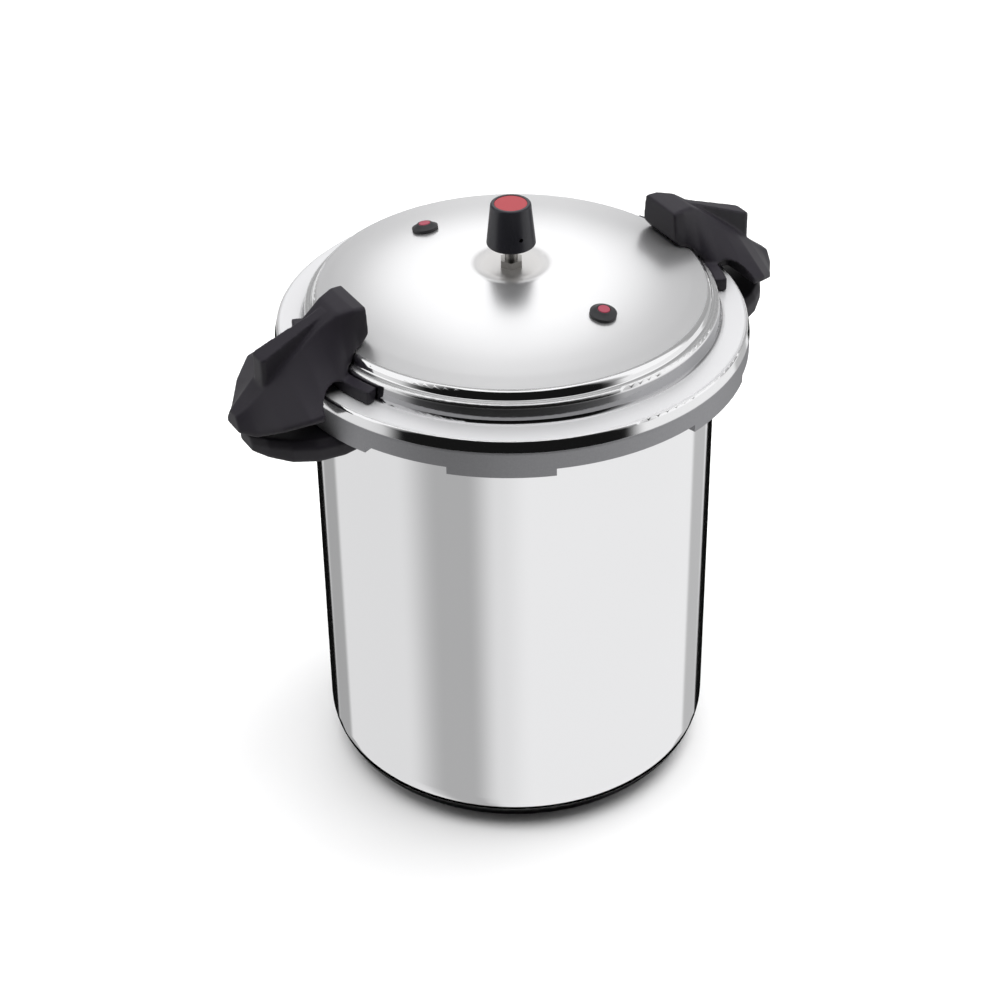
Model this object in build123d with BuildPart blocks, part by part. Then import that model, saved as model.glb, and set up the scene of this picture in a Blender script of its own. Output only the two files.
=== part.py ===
"""Pressure canner: a deep aluminium pot, a twist-lock domed lid, a weighted pressure regulator and a rack.

Millimetres. The origin is the centre of the pot's base, +Z is up, and the two handles lie along X.
The lid is modelled locked, with its tabs under the pot's tabs, and it opens anticlockwise seen from above.
"""
import os
from math import atan, cos, radians, sin, sqrt

from build123d import *

os.makedirs("parts", exist_ok=True)

# ---- driving dimensions -------------------------------------------------------------------------
pot_radius = 129.0            # outside of the drawn pot
pot_height = 317.5            # base to the top of the rim flange
pot_wall = 3.0
pot_floor = 4.0
pot_corner = 29.0             # outside radius between wall and floor
rim_width = 14.5              # the rim flange stands this far out of the wall
rim_lip = 14.5                # height of the rim's turned-down lip
tab_reach = 3.4               # the pot's locking tabs stand this far out of the lip
tab_thickness = 3.0
tab_play = 0.4                # vertical gap between pot tab and lid tab
side_play = 0.6               # radial gap between the lid's skirt and the pot's tabs

lid_wall = 2.5
seal_thickness = 5.0          # the seal in its squeezed state
skirt_radius = pot_radius + rim_width + tab_reach + side_play + lid_wall
shoulder_radius = 2.6         # between the flange and the top of the skirt
shoulder_lean = 1.7           # the top of the skirt leans in this far
shoulder_height = 9.0         # over this height
flange_fall = 0.8             # the flange drops this much from riser to shoulder
riser_radius = pot_radius + 2.5   # the raised centre of the lid, just above the flange
riser_height = 12.0
crown_fillet = 4.5
step_fillet = 1.2             # the small hollow at the foot of the crown
crown_radius = pot_radius - 4.5   # the edge of the domed top
crown_lean = 1.6              # the crown's side leans in this far
crown_curve = 435.0           # radius of the domed top's sphere
crown_side = 18.0             # flange to where the domed top meets the crown's side
crown_edge = 12.0             # straight run between the crown's edge and the sphere
dish_radius = 28.0            # shallow dish round the vent pipe
dish_depth = 1.7

turn_to_open = 30.0           # degrees from locked to free
wide_tab = 47.0               # angle of the lid tabs behind the handles
narrow_tab = 25.0             # angle of the four other lid tabs
narrow_tabs_at = (56.8, 118.8)    # their centres on one side of the handle axis
tab_gap = 1.6                 # least angle between a pot tab and an open lid tab

pipe_radius = 4.0
pipe_bore = 1.6
pipe_rise = 30.4              # above the dish
collar_height = 4.5
hex_wall = 2.5                # least wall of the collar and nut round the pipe
nut_height = 5.0
washer_height = 1.2

weight_gap = 15.1             # dish to the bottom of the regulator
weight_height = 27.8
weight_bottom_radius = 15.5
weight_top_radius = 12.6
weight_wall = 2.2
cap_radius = 10.2
cap_depth = 1.2
core_wall = 1.7
running_gap = 0.3             # between bodies that move past each other
fit_gap = 0.15                # between pieces of one body
seat_gap = 0.35               # between a moulded handle and the lid it hugs
arch_radius = 14.0            # the opening in each side of the lid handle, where the flange passes
arch_inset = 9.0              # its centre, inwards from the skirt
foot_angle = 43.0             # the handle's foot hugs this much of the riser

plug_at_radius = 78.0
plug_angles = (-75.5, 104.5)  # the indicator, then the over-pressure plug
plug_radius = 8.4
plug_height = 4.3
plug_hole = 5.0
pin_head_radius = 3.8
pin_stem_radius = 1.7
pin_travel = 4.0

rack_gap = 7.0                # between the rack's edge and the pot
rack_height = 17.0            # top of the disc above the pot's floor
rack_sheet = 1.5
rack_hole = 4.5
rack_pitch = 23.0             # between its rings of holes
rack_leg_inset = 12.0         # legs, inwards from the flat of the pot's floor

handle_screw_radius = 2.0
handle_screw_spread = 7.0     # each side of the handle's centre line
strap_thickness = 2.5
strap_half_width = 12.0

# ---- levels and radii worked out from them ------------------------------------------------------
flange_under = pot_height + seal_thickness
flange_top = flange_under + lid_wall
lip_radius = pot_radius + rim_width
lip_bottom = pot_height - rim_lip
pot_tab_radius = lip_radius + tab_reach
lid_tab_top = lip_bottom - tab_play
lid_tab_bottom = lid_tab_top - tab_thickness
lid_tab_inner = lip_radius + side_play
skirt_bottom = lid_tab_top + 1.9
crown_meet = crown_radius - crown_edge
crown_slope = crown_meet / sqrt(crown_curve**2 - crown_meet**2)
crown_edge_level = flange_top + crown_side
crown_top = crown_edge_level + crown_slope * crown_edge + crown_curve - sqrt(crown_curve**2 - crown_meet**2)
inner_radius = pot_radius - pot_wall
rack_radius = inner_radius - rack_gap
hex_flats = 2 * (pipe_radius + hex_wall)
core_radius = pipe_radius + running_gap + core_wall


def crown_level(radius):
    """Height of the domed top at a radius."""
    return crown_top - crown_curve + sqrt(crown_curve**2 - radius**2)


dish_level = crown_level(dish_radius) - dish_depth


def lid_profile(inset):
    """Half the lid's section, filled in to the axis, with its outline moved inwards by inset."""
    step_level = flange_top + riser_height
    with BuildSketch() as half:
        with BuildLine():
            start = (skirt_radius - inset, lid_tab_bottom - inset)
            side = FilletPolyline(
                start,
                (skirt_radius - inset, flange_top - shoulder_height - inset),
                (skirt_radius - shoulder_lean - inset, flange_top - flange_fall - inset),
                (riser_radius - inset, flange_top - inset),
                (riser_radius - 1.5 - inset, step_level - inset),
                (crown_radius + crown_lean - inset, step_level + 1.0 - inset),
                (crown_radius - inset, crown_edge_level - inset),
                (crown_meet - inset * crown_slope, crown_level(crown_meet) - inset),
                radius=[
                    8.0 - inset,
                    max(shoulder_radius - inset, 0.3),
                    3.0 + inset,
                    max(2.8 - inset, 0.3),
                    step_fillet + inset,
                    crown_fillet - inset,
                ],
            )
            dish_edge = (dish_radius, crown_level(dish_radius) - inset)
            halfway = (crown_meet + dish_radius) / 2
            ThreePointArc(side @ 1, (halfway, crown_level(halfway) - inset), dish_edge)
            dish_floor = (dish_radius - 11.0, dish_level - inset)
            Spline(dish_edge, dish_floor, tangents=[(-crown_curve, dish_radius), (-1, 0)])
            Polyline(
                dish_floor,
                (0, dish_level - inset),
                (0, lid_tab_bottom - inset),
                start,
            )
        make_face()
    return half.sketch


def sector(inner, outer, bottom, top, centre, width):
    """A solid ring sector, placed by its centre angle and its width in degrees."""
    with BuildPart() as piece:
        with BuildSketch(Plane.XZ):
            with Locations(((inner + outer) / 2, (bottom + top) / 2)):
                Rectangle(outer - inner, top - bottom)
        revolve(axis=Axis.Z, revolution_arc=width)
    return piece.part.rotate(Axis.Z, centre - width / 2)


def between(tabs, margin):
    """The sectors left free between a ring of tabs, less a margin at each end."""
    ring = sorted((centre % 360, width) for centre, width in tabs)
    free = []
    for (low, low_width), (high, high_width) in zip(ring, ring[1:] + ring[:1]):
        span = (high - low) % 360 - (low_width + high_width) / 2 - 2 * margin
        free.append((low + low_width / 2 + margin + span / 2, span))
    return free


def write(piece, name):
    """Labels a finished piece and writes its STEP file."""
    piece.label = name
    export_step(piece, f"parts/{name}.step")


# ---- pot ----------------------------------------------------------------------------------------
lid_tabs = [(0.0, wide_tab), (180.0, wide_tab)]
lid_tabs += [(centre + turn, narrow_tab) for turn in (0.0, 180.0) for centre in narrow_tabs_at]
pot_tabs = between([(centre + turn_to_open, width) for centre, width in lid_tabs], tab_gap)
inner_corner = pot_corner - pot_wall
with BuildPart() as pot:
    with BuildSketch(Plane.XZ):
        with BuildLine():
            FilletPolyline(
                (0, 0),
                (pot_radius, 0),
                (pot_radius, pot_height - pot_wall),
                (lip_radius - pot_wall, pot_height - pot_wall),
                (lip_radius - pot_wall, lip_bottom),
                radius=[pot_corner, 4.0, 1.0],
            )
            Line((lip_radius - pot_wall, lip_bottom), (lip_radius, lip_bottom))
            FilletPolyline(
                (lip_radius, lip_bottom),
                (lip_radius, pot_height),
                (inner_radius, pot_height),
                (inner_radius, pot_floor),
                (0, pot_floor),
                radius=[3.5, 4.0, inner_corner],
            )
            Line((0, pot_floor), (0, 0))
        make_face()
    revolve(axis=Axis.Z)
    for centre, width in pot_tabs:
        add(sector(lip_radius - 1.0, pot_tab_radius, lip_bottom, lip_bottom + tab_thickness, centre, width))
write(pot.part, "pot")

# ---- lid ----------------------------------------------------------------------------------------


def plug_plane(angle):
    """The plane on the domed top where a plug sits, with its Z along the surface's normal."""
    turn = radians(angle)
    tilt = atan(plug_at_radius / sqrt(crown_curve**2 - plug_at_radius**2))
    out = Vector(cos(turn), sin(turn), 0)
    normal = out * sin(tilt) + Vector(0, 0, cos(tilt))
    spot = out * plug_at_radius + Vector(0, 0, crown_level(plug_at_radius))
    return Plane(origin=spot, x_dir=Vector(-sin(turn), cos(turn), 0), z_dir=normal)


with BuildPart() as lid:
    with BuildSketch(Plane.XZ):
        add(lid_profile(0.0))
        add(lid_profile(lid_wall), mode=Mode.SUBTRACT)
    revolve(axis=Axis.Z)
    for centre, width in between(lid_tabs, 0.0):
        notch = sector(lid_tab_inner, skirt_radius + 1.0, lid_tab_bottom - 1.0, skirt_bottom, centre, width)
        add(notch, mode=Mode.SUBTRACT)
    for centre, width in lid_tabs:
        add(sector(lid_tab_inner, skirt_radius - 1.0, lid_tab_bottom, lid_tab_top, centre, width))
    with BuildSketch(Plane.XY.offset(dish_level - 20.0)):
        Circle(pipe_radius + fit_gap)
    extrude(amount=40.0, mode=Mode.SUBTRACT)
    for angle in plug_angles:
        with BuildSketch(plug_plane(angle).offset(-10.0)):
            Circle(plug_hole)
        extrude(amount=20.0, mode=Mode.SUBTRACT)
write(lid.part, "lid")

# ---- sealing ring -------------------------------------------------------------------------------
with BuildPart() as seal:
    seal_low = pot_height + running_gap
    seal_high = flange_under - running_gap
    seal_inner = riser_radius + 0.5
    seal_outer = lip_radius - 1.0
    seal_middle = (seal_low + seal_high) / 2
    with BuildSketch(Plane.XZ):
        with BuildLine():
            Polyline(
                (seal_outer, seal_low),
                (seal_outer, seal_high - flange_fall),
                (seal_inner, seal_high),
                (seal_inner, seal_high - 1.4),
                (seal_inner + 5.5, seal_middle),
                (seal_inner, seal_low + 1.4),
                (seal_inner, seal_low),
                close=True,
            )
        make_face()
    revolve(axis=Axis.Z)
write(seal.part, "sealing_ring")

# ---- vent pipe ----------------------------------------------------------------------------------
lid_under_dish = dish_level - lid_wall
nut_top = lid_under_dish - washer_height
with BuildPart() as vent_pipe:
    with BuildSketch(Plane.XY.offset(dish_level)):
        RegularPolygon(radius=hex_flats / 2, side_count=6, major_radius=False)
    extrude(amount=collar_height)
    with BuildSketch(Plane.XY.offset(nut_top - nut_height - 2.5)):
        Circle(pipe_radius)
    extrude(amount=dish_level + pipe_rise - (nut_top - nut_height - 2.5))
    chamfer(vent_pipe.faces().sort_by(Axis.Z)[-1].edges(), length=1.2)
    with BuildSketch(Plane.XY.offset(nut_top - nut_height - 5.0)):
        Circle(pipe_bore)
    extrude(amount=60.0, mode=Mode.SUBTRACT)
write(vent_pipe.part, "vent_pipe")

with BuildPart() as vent_nut:
    with BuildSketch(Plane.XY.offset(nut_top - nut_height)):
        RegularPolygon(radius=hex_flats / 2, side_count=6, major_radius=False)
        Circle(pipe_radius + 0.02, mode=Mode.SUBTRACT)
    extrude(amount=nut_height)
write(vent_nut.part, "vent_pipe_nut")

with BuildPart() as vent_washer:
    with BuildSketch(Plane.XY.offset(nut_top)):
        Circle(hex_flats / 2 + 1.0)
        Circle(pipe_radius + 0.02, mode=Mode.SUBTRACT)
    extrude(amount=washer_height)
write(vent_washer.part, "vent_pipe_washer")

# ---- pressure regulator -------------------------------------------------------------------------
weight_low = dish_level + weight_gap
weight_high = weight_low + weight_height
cavity_radius = weight_top_radius - weight_wall
core_low = weight_low + 4.0
core_high = weight_high - cap_depth - 3.2
pipe_tip = dish_level + pipe_rise
with BuildPart() as regulator_shell:
    with BuildSketch(Plane.XZ):
        with BuildLine():
            Polyline(
                (0, weight_low),
                (weight_bottom_radius, weight_low),
                (weight_top_radius, weight_high),
                (0, weight_high),
                close=True,
            )
        make_face()
    revolve(axis=Axis.Z)
    fillet(regulator_shell.edges().filter_by(GeomType.CIRCLE).sort_by(Axis.Z)[-1], radius=1.3)
    fillet(regulator_shell.edges().filter_by(GeomType.CIRCLE).sort_by(Axis.Z)[0], radius=1.0)
    with BuildSketch(Plane.XY.offset(weight_low)):
        Circle(cavity_radius)
    extrude(amount=core_high + fit_gap - weight_low, mode=Mode.SUBTRACT)
    with BuildSketch(Plane.XY.offset(weight_high - cap_depth)):
        Circle(cap_radius + fit_gap)
    extrude(amount=cap_depth, mode=Mode.SUBTRACT)
    for turn in (-95.0, 25.0, 145.0):
        outward = (cos(radians(turn)), sin(radians(turn)), 0)
        with BuildSketch(Plane(origin=(0, 0, weight_low + 8.6), z_dir=outward)):
            Circle(1.35)
        extrude(amount=weight_bottom_radius + 2.0, mode=Mode.SUBTRACT)
write(regulator_shell.part, "regulator_shell")

with BuildPart() as regulator_cap:
    with BuildSketch(Plane.XY.offset(weight_high - cap_depth)):
        Circle(cap_radius)
    extrude(amount=cap_depth - 0.2)
    fillet(regulator_cap.faces().sort_by(Axis.Z)[-1].edges(), radius=0.3)
write(regulator_cap.part, "regulator_cap")

with BuildPart() as regulator_core:
    with BuildSketch(Plane.XY.offset(core_low)):
        Circle(core_radius)
    extrude(amount=core_high - core_low)
    with BuildSketch(Plane.XY.offset(core_low)):
        Circle(pipe_radius + running_gap)
    extrude(amount=pipe_tip + running_gap - core_low, mode=Mode.SUBTRACT)
write(regulator_core.part, "regulator_core")

with BuildPart() as regulator_slug:
    with BuildSketch(Plane.XY.offset(core_low + 1.8)):
        Circle(cavity_radius - fit_gap)
        Circle(core_radius + running_gap, mode=Mode.SUBTRACT)
    extrude(amount=core_high - core_low - 1.8)
write(regulator_slug.part, "regulator_weight")

with BuildPart() as regulator_clip:
    with BuildSketch(Plane.XY.offset(core_low)):
        Circle(cavity_radius - 0.02)
        Circle(core_radius + running_gap, mode=Mode.SUBTRACT)
    extrude(amount=1.5)
write(regulator_clip.part, "regulator_clip")


# ---- pressure indicator and over-pressure plug --------------------------------------------------
def grommet(angle, bore):
    """A rubber plug pressed through the lid: domed head, neck and inner lip, with a bore for its pin."""
    lip_low = -lid_wall - 3.0
    with BuildPart() as rubber:
        with BuildSketch(Plane.XZ):
            with BuildLine():
                head = Polyline(
                    (0, lip_low),
                    (plug_hole + 1.2, lip_low),
                    (plug_hole + 1.8, -lid_wall - 0.15),
                    (plug_hole - fit_gap, -lid_wall - 0.15),
                    (plug_hole - fit_gap, 0.12),
                    (plug_radius, 0.12),
                    (plug_radius, 2.0),
                )
                Spline(
                    head @ 1,
                    (plug_radius - 1.9, plug_height - 1.3),
                    (pin_head_radius + 0.9, plug_height),
                )
                Polyline((pin_head_radius + 0.9, plug_height), (0, plug_height), (0, lip_low))
            make_face()
        revolve(axis=Axis.Z)
        with BuildSketch(Plane.XY.offset(plug_height - 1.6)):
            Circle(pin_head_radius + running_gap)
        extrude(amount=3.0, mode=Mode.SUBTRACT)
        with BuildSketch(Plane.XY.offset(lip_low - 1.0)):
            Circle(bore)
        extrude(amount=20.0, mode=Mode.SUBTRACT)
    return rubber.part.moved(plug_plane(angle).location)


def pin(angle, stem_low):
    """The red-headed pin in a plug."""
    with BuildPart() as body:
        with BuildSketch(Plane.XY.offset(plug_height - 1.3)):
            Circle(pin_head_radius)
        extrude(amount=1.7)
        fillet(body.faces().sort_by(Axis.Z)[-1].edges(), radius=0.6)
        with BuildSketch(Plane.XY.offset(stem_low)):
            Circle(pin_stem_radius)
        extrude(amount=plug_height - 1.3 - stem_low)
    return body.part.moved(plug_plane(angle).location)


grommet_bottom = -lid_wall - 3.0
clip_top = grommet_bottom - pin_travel - 0.1
stem_end = clip_top - 3.0
write(grommet(plug_angles[0], pin_stem_radius + running_gap), "indicator_grommet")
write(pin(plug_angles[0], stem_end), "indicator_pin")
with BuildPart() as clip:
    with BuildSketch(Plane.XY.offset(clip_top - 1.0)):
        Circle(pin_stem_radius + 1.9)
        Circle(pin_stem_radius + 0.02, mode=Mode.SUBTRACT)
    extrude(amount=1.0)
write(clip.part.moved(plug_plane(plug_angles[0]).location), "indicator_clip")
write(grommet(plug_angles[1], pin_stem_radius + fit_gap), "overpressure_grommet")
write(pin(plug_angles[1], grommet_bottom - 1.0), "overpressure_pin")

# ---- rack ---------------------------------------------------------------------------------------
rack_top = pot_floor + rack_height
with BuildPart() as rack:
    with BuildSketch(Plane.XY.offset(rack_top - rack_sheet)):
        Circle(rack_radius)
        Circle(9.0, mode=Mode.SUBTRACT)
        for ring in range(1, int((rack_radius - 10.0) / rack_pitch) + 1):
            with PolarLocations(ring * rack_pitch + 5.0, 6 * ring + 2):
                Circle(rack_hole, mode=Mode.SUBTRACT)
    extrude(amount=rack_sheet)
    with PolarLocations(pot_radius - pot_corner - rack_leg_inset, 3, start_angle=30.0):
        leg_height = rack_height - rack_sheet - running_gap
        with Locations((0, 0, pot_floor + running_gap + leg_height / 2)):
            Box(rack_sheet, 18.0, leg_height + 0.4)
write(rack.part, "canning_rack")


# ---- handles ------------------------------------------------------------------------------------
def lofted(sections):
    """A moulded body along X. A section is (x, low half width, low, middle, top half width, top)."""
    with BuildPart() as body:
        for x, low_half, low, middle, top_half, top in sections:
            with BuildSketch(Plane.YZ.offset(x)) as shape:
                Polygon(
                    (-low_half, low),
                    (low_half, low),
                    (low_half, middle),
                    (top_half, top),
                    (-top_half, top),
                    (-low_half, middle),
                    align=None,
                )
                reach = min(low_half, top_half, (middle - low) / 2, 6.0)
                fillet(shape.vertices(), radius=reach * 0.55)
        loft(ruled=True)
    return body.part


grip_low = lid_tab_bottom + 2.8       # lowest edge of the lid handle, clear of the pot handle
block_top = crown_top + 9.0
strap_low = flange_top
strap_out = skirt_radius + 24.0
strap_slot_in = riser_radius - 10.0
screw_x = skirt_radius + 13.0
crest_in = crown_radius + 6.5
crest_out = skirt_radius + 27.0
lid_handle_sections = [
    (crown_radius - 14.0, 18.0, block_top - 19.0, block_top - 12.0, 16.5, block_top - 0.5),
    (crown_radius - 6.5, 19.0, block_top - 28.0, block_top - 20.0, 16.0, block_top),
    (crown_radius + 3.5, 24.0, block_top - 48.0, block_top - 30.0, 12.0, block_top - 2.0),
    (skirt_radius - 11.0, 38.0, grip_low + 17.5, block_top - 44.0, 9.0, block_top - 9.5),
    (skirt_radius + 1.0, 46.0, grip_low + 16.5, block_top - 46.0, 8.5, block_top - 19.0),
    (skirt_radius + 14.0, 44.0, grip_low + 16.0, block_top - 48.0, 8.0, block_top - 29.5),
    (skirt_radius + 27.0, 33.0, grip_low + 9.0, block_top - 55.0, 7.5, block_top - 41.0),
    (skirt_radius + 38.0, 18.0, grip_low + 1.0, block_top - 62.5, 6.0, block_top - 50.5),
    (skirt_radius + 45.5, 8.0, grip_low + 1.5, block_top - 63.0, 4.0, block_top - 56.0),
]
lid_head = grip_low + 17.6            # the screws' heads sit just inside the handle's underside
with BuildPart() as lid_clearance:
    with BuildSketch(Plane.XZ):
        add(lid_profile(-seat_gap))
    revolve(axis=Axis.Z)
with BuildPart() as lid_handle:
    add(lofted(lid_handle_sections))
    with BuildSketch(Plane.XY.offset(grip_low + 22.0)) as crest:
        Polygon((crest_out, 7.5), (crest_in, 3.5), (crest_in, -3.5), (crest_out, -7.5), align=None)
        fillet(crest.vertices().group_by(Axis.X)[-1], radius=3.0)
    extrude(amount=60.0)
    crest_slope = Plane(origin=(crest_in, 0, block_top - 3.5), x_dir=(46.0, 0, -19.0), z_dir=(19.0, 0, 46.0))
    split(bisect_by=crest_slope, keep=Keep.BOTTOM)
    for side in (1, -1):
        with BuildSketch(Plane.XZ.offset(-side * 15.0)):
            with Locations((skirt_radius - arch_inset, flange_top - 5.0)):
                Circle(arch_radius)
        extrude(amount=-side * 60.0, mode=Mode.SUBTRACT)
    add(sector(riser_radius - 1.0, riser_radius + 7.5, flange_top, flange_top + 9.0, 0.0, foot_angle))
    add(lid_clearance.part, mode=Mode.SUBTRACT)
    with BuildSketch(Plane.XY.offset(strap_low - fit_gap)):
        with Locations(((strap_out + strap_slot_in) / 2, 0)):
            Rectangle(strap_out - strap_slot_in + 2 * fit_gap, 2 * (strap_half_width + fit_gap))
    extrude(amount=strap_thickness + 2 * fit_gap, mode=Mode.SUBTRACT)
    with BuildSketch(Plane.XY.offset(grip_low - 5.0)):
        with Locations((screw_x, handle_screw_spread), (screw_x, -handle_screw_spread)):
            Circle(handle_screw_radius + fit_gap)
    extrude(amount=strap_low + 13.0 - grip_low + 5.0, mode=Mode.SUBTRACT)
    with BuildSketch(Plane.XY.offset(grip_low - 5.0)):
        with Locations((screw_x, handle_screw_spread), (screw_x, -handle_screw_spread)):
            Circle(handle_screw_radius + 2.2)
    extrude(amount=lid_head + 2.4 - grip_low + 5.0, mode=Mode.SUBTRACT)
write(lid_handle.part, "lid_handle_right")
write(lid_handle.part.rotate(Axis.Z, 180.0), "lid_handle_left")

with BuildPart() as lid_strap:
    with BuildSketch(Plane.XY.offset(strap_low)):
        strap_in = riser_radius + 4.0
        with Locations(((strap_in + strap_out) / 2, 0)):
            RectangleRounded(strap_out - strap_in, 2 * strap_half_width, 2.0)
        with Locations((screw_x, handle_screw_spread), (screw_x, -handle_screw_spread)):
            Circle(handle_screw_radius + 0.02, mode=Mode.SUBTRACT)
    extrude(amount=strap_thickness)
write(lid_strap.part, "lid_strap_right")
write(lid_strap.part.rotate(Axis.Z, 180.0), "lid_strap_left")


def screw(x, y, head_bottom, tip):
    """A pan-head screw driven upwards."""
    head = 2.4
    with BuildPart() as body:
        with BuildSketch(Plane.XY.offset(head_bottom)):
            with Locations((x, y)):
                Circle(handle_screw_radius + 1.9)
        extrude(amount=head)
        fillet(body.faces().sort_by(Axis.Z)[0].edges(), radius=0.9)
        with BuildSketch(Plane.XY.offset(head_bottom)):
            with Locations((x, y)):
                Rectangle(4.6, 0.8)
                Rectangle(0.8, 4.6)
        extrude(amount=1.2, mode=Mode.SUBTRACT)
        with BuildSketch(Plane.XY.offset(head_bottom + head)):
            with Locations((x, y)):
                Circle(handle_screw_radius)
        extrude(amount=tip - head_bottom - head)
    return body.part


def four_screws(x, head_bottom, tip):
    """The screws of both handles, as one group of separate solids."""
    pair = [screw(x, side * handle_screw_spread, head_bottom, tip) for side in (1, -1)]
    return Compound(children=pair + [one.rotate(Axis.Z, 180.0) for one in pair])


write(four_screws(screw_x, lid_head, strap_low + 12.0), "lid_handle_screws")

pot_grip_top = lid_tab_bottom - 0.6
pot_grip_low = pot_grip_top - 14.5
pot_handle_sections = [
    (pot_radius - 7.0, 38.0, pot_grip_low + 4, pot_grip_top - 4, 35.0, pot_grip_top),
    (pot_radius + 11.0, 38.5, pot_grip_low + 1, pot_grip_top - 4, 34.0, pot_grip_top),
    (pot_radius + 27.0, 35.5, pot_grip_low, pot_grip_top - 4, 31.0, pot_grip_top),
    (pot_radius + 41.0, 28.0, pot_grip_low, pot_grip_top - 4, 24.0, pot_grip_top),
    (pot_radius + 52.0, 18.0, pot_grip_low + 2, pot_grip_top - 4, 14.0, pot_grip_top),
    (pot_radius + 59.0, 8.0, pot_grip_low + 4, pot_grip_top - 5.0, 5.0, pot_grip_top - 1.5),
]
pot_strap_low = pot_grip_low + 5.5
pot_screw_x = pot_radius + 28.0
pot_strap_out = pot_radius + 38.0
pot_head = pot_strap_low - 4.6
with BuildPart() as pot_handle:
    add(lofted(pot_handle_sections))
    with BuildSketch(Plane.XY.offset(pot_grip_low - 5.0)):
        Circle(pot_radius + strap_thickness + 0.5)
    extrude(amount=40.0, mode=Mode.SUBTRACT)
    with BuildSketch(Plane.XY.offset(pot_strap_low - fit_gap)):
        with Locations(((pot_strap_out + pot_radius) / 2, 0)):
            Rectangle(pot_strap_out - pot_radius + 2 * fit_gap, 2 * (strap_half_width + fit_gap))
    extrude(amount=strap_thickness + 2 * fit_gap, mode=Mode.SUBTRACT)
    with BuildSketch(Plane.XY.offset(pot_grip_low - 5.0)):
        with Locations((pot_screw_x, handle_screw_spread), (pot_screw_x, -handle_screw_spread)):
            Circle(handle_screw_radius + fit_gap)
    extrude(amount=pot_grip_top - 2.4 - pot_grip_low + 5.0, mode=Mode.SUBTRACT)
    with BuildSketch(Plane.XY.offset(pot_grip_low - 5.0)):
        with Locations((pot_screw_x, handle_screw_spread), (pot_screw_x, -handle_screw_spread)):
            Circle(handle_screw_radius + 2.2)
    extrude(amount=pot_head + 2.4 - pot_grip_low + 5.0, mode=Mode.SUBTRACT)
write(pot_handle.part, "pot_handle_right")
write(pot_handle.part.rotate(Axis.Z, 180.0), "pot_handle_left")

with BuildPart() as pot_strap:
    add(sector(pot_radius, pot_radius + strap_thickness, pot_strap_low - 6.0, pot_strap_low + 8.0, 0.0, 10.0))
    with BuildSketch(Plane.XY.offset(pot_strap_low)):
        with Locations(((pot_radius + 1.0 + pot_strap_out) / 2, 0)):
            RectangleRounded(pot_strap_out - pot_radius - 1.0, 2 * strap_half_width, 2.0)
        Circle(pot_radius + 1.0, mode=Mode.SUBTRACT)
        with Locations((pot_screw_x, handle_screw_spread), (pot_screw_x, -handle_screw_spread)):
            Circle(handle_screw_radius + 0.02, mode=Mode.SUBTRACT)
    extrude(amount=strap_thickness)
write(pot_strap.part, "pot_strap_right")
write(pot_strap.part.rotate(Axis.Z, 180.0), "pot_strap_left")
write(four_screws(pot_screw_x, pot_head, pot_grip_top - 3.0), "pot_handle_screws")
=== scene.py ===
"""Pressure canner: materials, smoothed mouldings, floor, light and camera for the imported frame."""
from math import cos, pi, radians, sin

import bmesh
import bpy
from mathutils import Matrix, Vector


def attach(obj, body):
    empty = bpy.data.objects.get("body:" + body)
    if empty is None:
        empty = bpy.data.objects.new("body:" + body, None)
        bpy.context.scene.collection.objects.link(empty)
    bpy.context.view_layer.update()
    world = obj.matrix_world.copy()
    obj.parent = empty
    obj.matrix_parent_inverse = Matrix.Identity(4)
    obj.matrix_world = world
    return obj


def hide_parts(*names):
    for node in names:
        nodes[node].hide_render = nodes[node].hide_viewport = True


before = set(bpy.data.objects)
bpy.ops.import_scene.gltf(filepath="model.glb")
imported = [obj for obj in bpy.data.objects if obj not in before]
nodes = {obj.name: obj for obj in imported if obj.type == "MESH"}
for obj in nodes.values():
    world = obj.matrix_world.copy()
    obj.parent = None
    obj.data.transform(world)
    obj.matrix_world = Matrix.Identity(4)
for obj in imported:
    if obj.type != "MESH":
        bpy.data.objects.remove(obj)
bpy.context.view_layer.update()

scene = bpy.context.scene
scene.view_settings.view_transform = "Standard"
scene.view_settings.look = "None"

SIDES = ("left", "right")
UP = Vector((0.0, 0.0, 1.0))
VIEW_TURN = radians(-30.0)        # where the camera stands round the object, from -Y
FORWARD = Vector((-sin(VIEW_TURN), cos(VIEW_TURN), 0.0))
RIGHT = Vector((cos(VIEW_TURN), sin(VIEW_TURN), 0.0))

# Sizes are in metres. An EDGE is where a finish starts and is full; a BAND is low, high, softness.
POT_RADIUS = 0.129
POT_INSIDE_RADIUS = POT_RADIUS - 0.0015       # half way through the wall
POT_INSIDE_SOFT = 0.0004
POT_FLOOR_EDGE = (0.0035, 0.0038)             # height
DISH_SHADE_EDGE = (0.016, 0.030)                    # radii, from the lid's middle outwards
DOME_EDGE = (0.1222, 0.1236)
BEAD_BAND = (0.1272, 0.1310, 0.0005)
RISER_SHADE_BAND = (0.1285, 0.1340, 0.0004)
FLANGE_BAND = (0.1325, 0.1475, 0.0008)
SKIRT_EDGE = (0.1432, 0.1438)
SKIRT_TOP_EDGE = (0.3163, 0.3173)             # heights, from the skirt upwards
FLANGE_HEIGHT_EDGE = (0.3215, 0.3230)
RISER_SHADE_HEIGHT_BAND = (0.3252, 0.3346, 0.0006)
BEAD_HEIGHT_EDGE = (0.3354, 0.3362)
GRAIN_DEPTH = 0.0002                          # of every bump

GRIP_VOXEL = 0.0009
LID_GRIP_ROUNDS = 7
POT_GRIP_ROUNDS = 4

FLOOR_REACH = 12.0
FLOOR_DROP = 0.0003                           # clear of the pot's base
DISC_DROP = 0.0002
DISC_RADIUS = POT_RADIUS + 0.006

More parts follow.
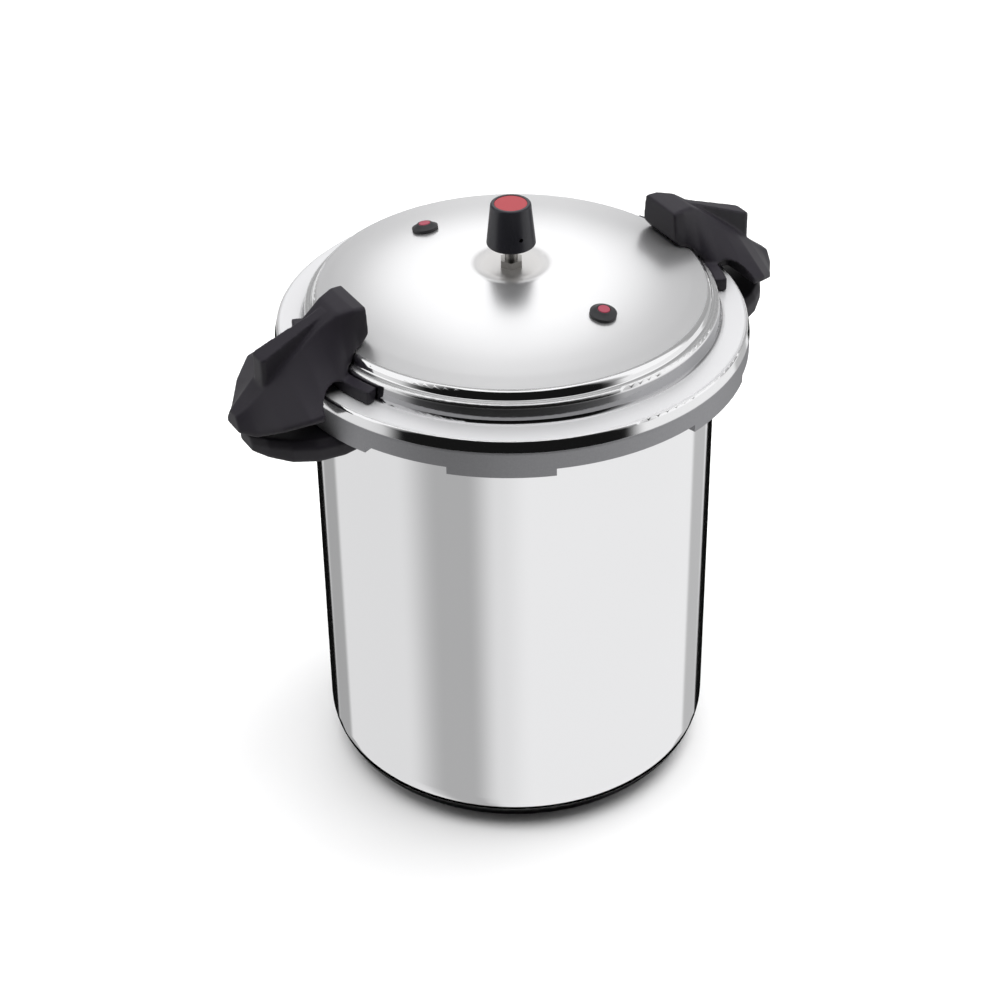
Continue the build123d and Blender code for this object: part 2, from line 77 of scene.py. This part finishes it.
KEY_FROM = RIGHT * 1.4 + FORWARD * 0.9 + UP * 2.6
KEY_AT = Vector((0.0, 0.0, 0.2))
KEY_SIZE = 1.8
KEY_POWER = 22.0
OVERHEAD_STRENGTH = 2.8
OVERHEAD_SPREAD = radians(62.0)
OVERHEAD_HEIGHT = 3.0

EYE = Vector((-0.6591, -1.1229, 1.0883))
EYE_AT = Vector((-0.0081, 0.0047, 0.1795))
EYE_ROLL = radians(-0.89)
SENSOR_WIDTH = 36.0                           # millimetres
FOCAL_SHARE = 2.384                           # focal length over sensor width
VIEW_REACH = 60.0


# ---- node graph helpers -------------------------------------------------------------------------
class Graph:
    """Short names for building a node tree."""

    def __init__(self, tree):
        self.tree = tree
        self.tree.nodes.clear()

    def add(self, kind, **settings):
        node = self.tree.nodes.new(kind)
        for key, value in settings.items():
            setattr(node, key, value)
        return node

    def link(self, source, target):
        self.tree.links.new(source, target)

    def feed(self, socket, value):
        """Sets a socket to a number or colour, or links it."""
        if isinstance(value, bpy.types.NodeSocket):
            self.link(value, socket)
        else:
            socket.default_value = value

    def math(self, operation, a, b=0.0):
        node = self.add("ShaderNodeMath", operation=operation)
        self.feed(node.inputs[0], a)
        self.feed(node.inputs[1], b)
        return node.outputs[0]

    def plus(self, a, b):
        return self.math("ADD", a, b)

    def minus(self, a, b):
        return self.math("SUBTRACT", a, b)

    def times(self, a, b):
        return self.math("MULTIPLY", a, b)

    def weighted(self, base, *terms):
        """The base plus each value times its weight."""
        total = base
        for value, weight in terms:
            total = self.plus(total, self.times(value, weight))
        return total

    def mix(self, factor, a, b):
        node = self.add("ShaderNodeMix", data_type="FLOAT")
        self.feed(node.inputs["Factor"], factor)
        self.feed(node.inputs["A"], a)
        self.feed(node.inputs["B"], b)
        return node.outputs["Result"]

    def mix_color(self, factor, a, b):
        node = self.add("ShaderNodeMix", data_type="RGBA")
        self.feed(node.inputs[0], factor)
        self.feed(node.inputs[6], a)
        self.feed(node.inputs[7], b)
        return node.outputs[2]

    def step(self, value, low, high):
        """0 below low, 1 above high, smooth between."""
        node = self.add("ShaderNodeMapRange", interpolation_type="SMOOTHSTEP")
        self.feed(node.inputs["Value"], value)
        node.inputs["From Min"].default_value = low
        node.inputs["From Max"].default_value = high
        return node.outputs["Result"]

    def fall(self, value, low, high):
        """1 below low, 0 above high, smooth between."""
        return self.minus(1.0, self.step(value, low, high))

    def window(self, value, low, high, soft):
        """1 between low and high, 0 outside."""
        return self.times(self.step(value, low - soft, low + soft),
                          self.fall(value, high - soft, high + soft))

    def noise(self, where, scale, detail=3.0):
        node = self.add("ShaderNodeTexNoise")
        self.link(where, node.inputs["Vector"])
        node.inputs["Scale"].default_value = scale
        node.inputs["Detail"].default_value = detail
        return node.outputs["Fac"]

    def bump(self, height, strength):
        node = self.add("ShaderNodeBump")
        node.inputs["Strength"].default_value = strength
        node.inputs["Distance"].default_value = GRAIN_DEPTH
        self.link(height, node.inputs["Height"])
        return node.outputs["Normal"]

    def vector(self, x, y, z):
        node = self.add("ShaderNodeCombineXYZ")
        for socket, value in zip(node.inputs, (x, y, z)):
            self.feed(socket, value)
        return node.outputs[0]

    def polar(self, place):
        """Distance from the Z axis, angle about it and height, from object coordinates."""
        split = self.add("ShaderNodeSeparateXYZ")
        self.link(place, split.inputs[0])
        x, y, z = split.outputs
        radius = self.math("SQRT", self.plus(self.times(x, x), self.times(y, y)))
        angle = self.math("ARCTAN2", y, x)
        return radius, angle, z


def material(name):
    """A new material with its graph, shader and object coordinates."""
    made = bpy.data.materials.new(name)
    made.use_nodes = True
    graph = Graph(made.node_tree)
    shader = graph.add("ShaderNodeBsdfPrincipled")
    out = graph.add("ShaderNodeOutputMaterial")
    graph.link(shader.outputs["BSDF"], out.inputs["Surface"])
    place = graph.add("ShaderNodeTexCoord").outputs["Object"]
    return made, graph, shader, place


# ---- metals -------------------------------------------------------------------------------------
def pot_metal():
    """Polished outside, with faint turning lines and scratches round it, and satin inside."""
    made, g, shader, place = material("polished_aluminium_pot")
    radius, angle, z = g.polar(place)
    inside = g.times(g.step(g.minus(POT_INSIDE_RADIUS, radius), 0.0, POT_INSIDE_SOFT),
                     g.step(z, *POT_FLOOR_EDGE))
    lines = g.vector(g.times(angle, 0.6), radius, g.times(z, 90.0))
    lathe = g.noise(lines, scale=9.0, detail=4.0)
    smudge = g.noise(place, scale=9.0)
    hairlines = g.vector(g.times(angle, 1.5), radius, g.times(z, 420.0))
    scratch = g.step(g.noise(hairlines, scale=6.0, detail=2.0), 0.62, 0.75)
    g.feed(shader.inputs["Roughness"],
           g.weighted(0.055, (smudge, 0.03), (scratch, 0.04), (inside, 0.22)))
    dull, bright = (0.60, 0.60, 0.61, 1), (0.97, 0.97, 0.975, 1)
    g.feed(shader.inputs["Base Color"], g.mix_color(g.weighted(0.86, (smudge, 0.05)), dull, bright))
    shader.inputs["Metallic"].default_value = 1.0
    g.link(g.bump(lathe, strength=0.03), shader.inputs["Normal"])
    return made


def lid_metal():
    """Polished, with a duller dome, bead and flange, painted shade on the riser and dish (greyed
    colour for dark reflections and the regulator's shadow), and a matt skirt.
    """
    made, g, shader, place = material("polished_aluminium_lid")
    radius, angle, z = g.polar(place)
    # painted shade: the dish round the vent is greyed to stand for the regulator's shadow and its
    # dark reflection there
    dish_shade = g.fall(radius, *DISH_SHADE_EDGE)
    dome = g.fall(radius, *DOME_EDGE)
    bead = g.times(g.window(radius, *BEAD_BAND), g.step(z, *BEAD_HEIGHT_EDGE))
    # painted reflection: the riser is greyed to stand for the dark surroundings it mirrors round the
    # lid's crown
    riser_shade = g.times(g.window(radius, *RISER_SHADE_BAND), g.window(z, *RISER_SHADE_HEIGHT_BAND))
    flange = g.times(g.window(radius, *FLANGE_BAND), g.step(z, *FLANGE_HEIGHT_EDGE))
    skirt = g.times(g.step(radius, *SKIRT_EDGE), g.fall(z, *SKIRT_TOP_EDGE))

    lines = g.vector(g.times(angle, 0.4), g.times(radius, 160.0), z)
    rings = g.noise(lines, scale=5.0, detail=4.0)
    smudge = g.noise(place, scale=14.0)
    grit = g.noise(place, scale=900.0, detail=2.0)

    rough = g.weighted(0.06, (smudge, 0.035), (g.step(rings, 0.55, 0.7), 0.02),
                       (dome, 0.22), (bead, 0.16), (flange, 0.30))
    skirt_rough = 0.5
    g.feed(shader.inputs["Roughness"], g.mix(skirt, rough, skirt_rough))

    tone = g.mix_color(smudge, (0.90, 0.90, 0.905, 1), (0.96, 0.96, 0.965, 1))
    # The dish and riser greys below are painted shade and reflection, not the metal's own colour.
    for mask, grey in ((dish_shade, (0.62, 0.61, 0.60, 1)), (riser_shade, (0.42, 0.42, 0.43, 1)),
                       (flange, (0.62, 0.62, 0.63, 1))):
        tone = g.mix_color(mask, tone, grey)
    satin = g.mix_color(grit, (0.33, 0.33, 0.345, 1), (0.41, 0.41, 0.42, 1))
    g.feed(shader.inputs["Base Color"], g.mix_color(skirt, tone, satin))
    g.feed(shader.inputs["Metallic"], g.weighted(1.0, (dome, -0.08), (flange, -0.6)))
    g.link(g.bump(g.mix(skirt, rings, grit), strength=0.025), shader.inputs["Normal"])
    return made


def plain_metal(name, low, high, rough_low, rough_high, scale):
    """A bare metal whose colour and roughness follow one fine grain."""
    made, g, shader, place = material(name)
    grain = g.noise(place, scale, detail=4.0)
    g.feed(shader.inputs["Base Color"], g.mix_color(grain, low + (1,), high + (1,)))
    g.feed(shader.inputs["Roughness"], g.mix(grain, rough_low, rough_high))
    shader.inputs["Metallic"].default_value = 1.0
    g.link(g.bump(grain, strength=0.06), shader.inputs["Normal"])
    return made


# ---- plastics and rubber ------------------------------------------------------------------------
def moulded(name, low, high, rough_low, rough_high, grain_scale=1400.0, specular=0.5):
    """A moulded plastic or rubber: cloudy colour and roughness, with a fine surface grain."""
    made, g, shader, place = material(name)
    grain = g.noise(place, grain_scale, detail=2.0)
    cloud = g.noise(place, scale=22.0)
    g.feed(shader.inputs["Base Color"], g.mix_color(cloud, low + (1,), high + (1,)))
    g.feed(shader.inputs["Roughness"], g.mix(cloud, rough_low, rough_high))
    shader.inputs["Specular IOR Level"].default_value = specular
    g.link(g.bump(grain, strength=0.12), shader.inputs["Normal"])
    return made


POT = pot_metal()
LID = lid_metal()
SATIN = plain_metal("satin_aluminium", (0.62, 0.62, 0.63), (0.74, 0.74, 0.75), 0.28, 0.42, 220.0)
STEEL = plain_metal("plain_steel", (0.42, 0.42, 0.43), (0.55, 0.55, 0.56), 0.25, 0.4, 300.0)
NICKEL = plain_metal("dull_nickel", (0.34, 0.33, 0.32), (0.44, 0.43, 0.41), 0.26, 0.38, 260.0)
PHENOLIC = moulded("black_phenolic", (0.0115, 0.0098, 0.0142), (0.017, 0.0148, 0.020),
                   0.46, 0.58, specular=0.38)
WEIGHT_BLACK = moulded("regulator_black", (0.010, 0.010, 0.014), (0.016, 0.016, 0.022),
                       0.28, 0.36, grain_scale=1800.0)
RED = moulded("dull_red", (0.30, 0.047, 0.056), (0.35, 0.058, 0.068),
              0.5, 0.6, grain_scale=1600.0, specular=0.3)
PIN_RED = moulded("pin_red", (0.26, 0.040, 0.065), (0.31, 0.052, 0.082),
                  0.4, 0.5, grain_scale=1600.0, specular=0.4)
RUBBER = moulded("black_rubber", (0.020, 0.020, 0.022), (0.032, 0.032, 0.034),
                 0.42, 0.55, grain_scale=900.0, specular=0.4)
SEAL = moulded("seal_rubber", (0.018, 0.018, 0.018), (0.028, 0.028, 0.028),
               0.6, 0.75, grain_scale=700.0, specular=0.3)

FINISH = {
    "pot": POT, "lid": LID, "canning_rack": SATIN, "sealing_ring": SEAL,
    "vent_pipe": NICKEL, "vent_pipe_nut": NICKEL, "vent_pipe_washer": STEEL,
    "regulator_shell": WEIGHT_BLACK, "regulator_cap": RED, "regulator_weight": STEEL,
    "regulator_core": STEEL, "regulator_clip": STEEL,
    "indicator_grommet": RUBBER, "overpressure_grommet": RUBBER,
    "indicator_pin": PIN_RED, "overpressure_pin": PIN_RED, "indicator_clip": STEEL,
    "pot_handle_screws": STEEL, "lid_handle_screws": STEEL,
}
for side in SIDES:
    FINISH["lid_handle_" + side] = PHENOLIC
    FINISH["pot_handle_" + side] = PHENOLIC
    FINISH["lid_strap_" + side] = STEEL
    FINISH["pot_strap_" + side] = STEEL
for name, finish in FINISH.items():
    mesh = nodes[name].data
    mesh.materials.clear()
    mesh.materials.append(finish)


# ---- handles: the CAD solids with their moulded edges softened ----------------------------------
def softened(node, name, body, rounds):
    """A copy of a CAD solid, remeshed evenly and relaxed so that its edges read as moulded."""
    mesh = nodes[node].data.copy()
    piece = bpy.data.objects.new(name, mesh)
    scene.collection.objects.link(piece)
    remesh = piece.modifiers.new("even", "REMESH")
    remesh.mode = "VOXEL"
    remesh.voxel_size = GRIP_VOXEL
    remesh.use_smooth_shade = True
    relax = piece.modifiers.new("relax", "SMOOTH")
    relax.factor = 0.5
    relax.iterations = rounds
    bpy.context.view_layer.update()
    settled = piece.evaluated_get(bpy.context.evaluated_depsgraph_get())
    shaped = bpy.data.meshes.new_from_object(settled)
    piece.modifiers.clear()
    piece.data = shaped
    shaped.materials.clear()
    shaped.materials.append(PHENOLIC)
    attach(piece, body)
    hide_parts(node)


for side in SIDES:
    softened("lid_handle_" + side, "lid_grip_" + side, "lid", LID_GRIP_ROUNDS)
    softened("pot_handle_" + side, "pot_grip_" + side, "pot", POT_GRIP_ROUNDS)


# ---- floor, light and camera --------------------------------------------------------------------
def placed(name, data):
    """A new object that holds the data, linked to the scene."""
    holder = bpy.data.objects.new(name, data)
    scene.collection.objects.link(holder)
    return holder


def mesh_from(bm, name, finish):
    """A mesh made from a bmesh, with one material."""
    mesh = bpy.data.meshes.new(name)
    bm.to_mesh(mesh)
    bm.free()
    mesh.materials.append(finish)
    return mesh


def floor():
    """A pale floor. Reflections don't see it: they show the studio's ground instead."""
    made, g, shader, place = material("pale_floor")
    cloud = g.noise(place, scale=0.8, detail=2.0)
    low, high = (0.90, 0.90, 0.90, 1), (0.92, 0.92, 0.92, 1)
    g.feed(shader.inputs["Base Color"], g.mix_color(cloud, low, high))
    shader.inputs["Roughness"].default_value = 0.9
    shader.inputs["Specular IOR Level"].default_value = 0.0
    bm = bmesh.new()
    bmesh.ops.create_grid(bm, x_segments=8, y_segments=8, size=FLOOR_REACH)
    plane = placed("floor", mesh_from(bm, "floor", made))
    plane.location.z = -FLOOR_DROP
    plane.visible_glossy = False


def dark_disc():
    """A black disc under the pot that only reflections see: a painted dark reflection along the
    pot's bottom edge.
    """
    made, _, shader, _ = material("painted_dark_reflection")
    shader.inputs["Base Color"].default_value = (0.0, 0.0, 0.0, 1)
    shader.inputs["Specular IOR Level"].default_value = 0.0
    bm = bmesh.new()
    bmesh.ops.create_circle(bm, cap_ends=True, segments=96, radius=DISC_RADIUS)
    disc = placed("dark_reflection_disc", mesh_from(bm, "dark_reflection_disc", made))
    disc.location.z = -DISC_DROP
    disc.visible_camera = False
    disc.visible_diffuse = False
    disc.visible_shadow = False


def studio():
    """Soft surroundings that the metal mirrors: bright ahead and overhead, dark behind the camera.

    Angles are in degrees. turn is 0 behind the object and grows to the right, off is the same to
    either side, left is 0 towards the camera and grows to the left, and height is above the horizon.
    """
    world = bpy.data.worlds.new("studio")
    scene.world = world
    world.use_nodes = True
    g = Graph(world.node_tree)
    direction = g.add("ShaderNodeTexCoord").outputs["Generated"]

    def along(axis):
        node = g.add("ShaderNodeVectorMath", operation="DOT_PRODUCT")
        g.link(direction, node.inputs[0])
        node.inputs[1].default_value = axis
        return node.outputs["Value"]

    ahead, across, up = along(FORWARD), along(RIGHT), along(UP)
    turn = g.times(g.math("ARCTAN2", across, ahead), 180.0 / pi)
    off = g.math("ABSOLUTE", turn)
    left = g.plus(turn, 180.0)
    height = g.times(g.math("ARCSINE", up), 180.0 / pi)

    # The ground: brighter to the right, with a dark cone ahead and below, a grey patch on each side
    # behind the object, a grey band left of the camera, and darkness past the floor's near edge.
    dark, left_tone, right_tone = 0.008, 0.76, 0.87
    cone_dip, cone_tone = radians(38.0), 0.004
    cone_edge = (cos(radians(27.0)), cos(radians(24.5)))
    left_patch, right_patch, band_tone = 0.38, 0.5, 0.43
    ground = g.mix(g.step(across, -0.14, 0.14), left_tone, right_tone)
    below = along(FORWARD * cos(cone_dip) - UP * sin(cone_dip))
    ground = g.mix(g.step(below, *cone_edge), ground, cone_tone)
    patch = g.mix(g.step(turn, -10.0, 10.0), left_patch, right_patch)
    ground = g.mix(g.window(off, 34.0, 54.0, 2.5), ground, patch)
    band = g.times(g.step(left, 9.0, 28.0), g.fall(left, 44.0, 72.0))
    ground = g.mix(band, ground, band_tone)
    beyond = g.times(g.step(off, 118.0, 130.0), g.step(height, -24.0, -18.0))
    ground = g.mix(beyond, ground, dark)

    # The sky: an oval panel ahead, bright sides, darkness behind the camera with a strip above it.
    panel_rise, panel_wide, panel_tall = radians(35.0), 0.26, 0.42
    sky_tone, panel_tone, side_tone, strip_tone = 0.37, 1.25, 1.0, 1.1
    rise = along(UP * cos(panel_rise) - FORWARD * sin(panel_rise))
    wide = g.times(across, 1.0 / panel_wide)
    tall = g.times(rise, 1.0 / panel_tall)
    oval = g.plus(g.times(wide, wide), g.times(tall, tall))
    sky = g.mix(g.fall(oval, 0.75, 1.25), sky_tone, panel_tone)
    sky = g.mix(g.window(off, 74.0, 118.0, 6.0), sky, side_tone)
    behind = g.times(g.step(off, 122.0, 134.0), g.fall(height, 60.0, 66.0))
    sky = g.mix(behind, sky, dark)
    strip = g.times(g.math("LESS_THAN", ahead, -0.08), g.window(height, 62.0, 80.0, 2.0))
    sky = g.mix(strip, sky, strip_tone)

    seen = g.mix(g.step(height, -1.5, 1.5), ground, sky)
    camera_ray = g.add("ShaderNodeLightPath").outputs["Is Camera Ray"]
    seen = g.mix(camera_ray, seen, 1.0)
    back = g.add("ShaderNodeBackground")
    g.link(g.vector(seen, seen, g.times(seen, 1.005)), back.inputs["Color"])
    out = g.add("ShaderNodeOutputWorld")
    g.link(back.outputs[0], out.inputs["Surface"])


def key_light():
    """A soft disc high above the object, to its right and behind it."""
    lamp = bpy.data.lights.new("key", "AREA")
    lamp.shape = "DISK"
    lamp.size = KEY_SIZE
    lamp.energy = KEY_POWER
    holder = placed("key", lamp)
    holder.location = KEY_FROM
    holder.rotation_euler = (KEY_AT - KEY_FROM).to_track_quat("-Z", "Y").to_euler()
    holder.visible_glossy = False


def overhead_light():
    """Even light from straight above, soft as a lit ceiling."""
    lamp = bpy.data.lights.new("overhead", "SUN")
    lamp.energy = OVERHEAD_STRENGTH
    lamp.angle = OVERHEAD_SPREAD
    holder = placed("overhead", lamp)
    holder.location = UP * OVERHEAD_HEIGHT
    holder.visible_glossy = False


def camera():
    """The photograph's view, from in front and a little to the left, looking down."""
    lens = bpy.data.cameras.new("camera")
    lens.sensor_width = SENSOR_WIDTH
    lens.lens = SENSOR_WIDTH * FOCAL_SHARE
    lens.clip_end = VIEW_REACH
    holder = placed("camera", lens)
    back = (EYE - EYE_AT).normalized()
    side = UP.cross(back).normalized()
    up = back.cross(side)
    right = side * cos(EYE_ROLL) + up * sin(EYE_ROLL)
    above = up * cos(EYE_ROLL) - side * sin(EYE_ROLL)
    turned = Matrix((right, above, back)).transposed().to_4x4()
    holder.matrix_world = Matrix.Translation(EYE) @ turned
    scene.camera = holder


floor()
dark_disc()
studio()
key_light()
overhead_light()
camera()
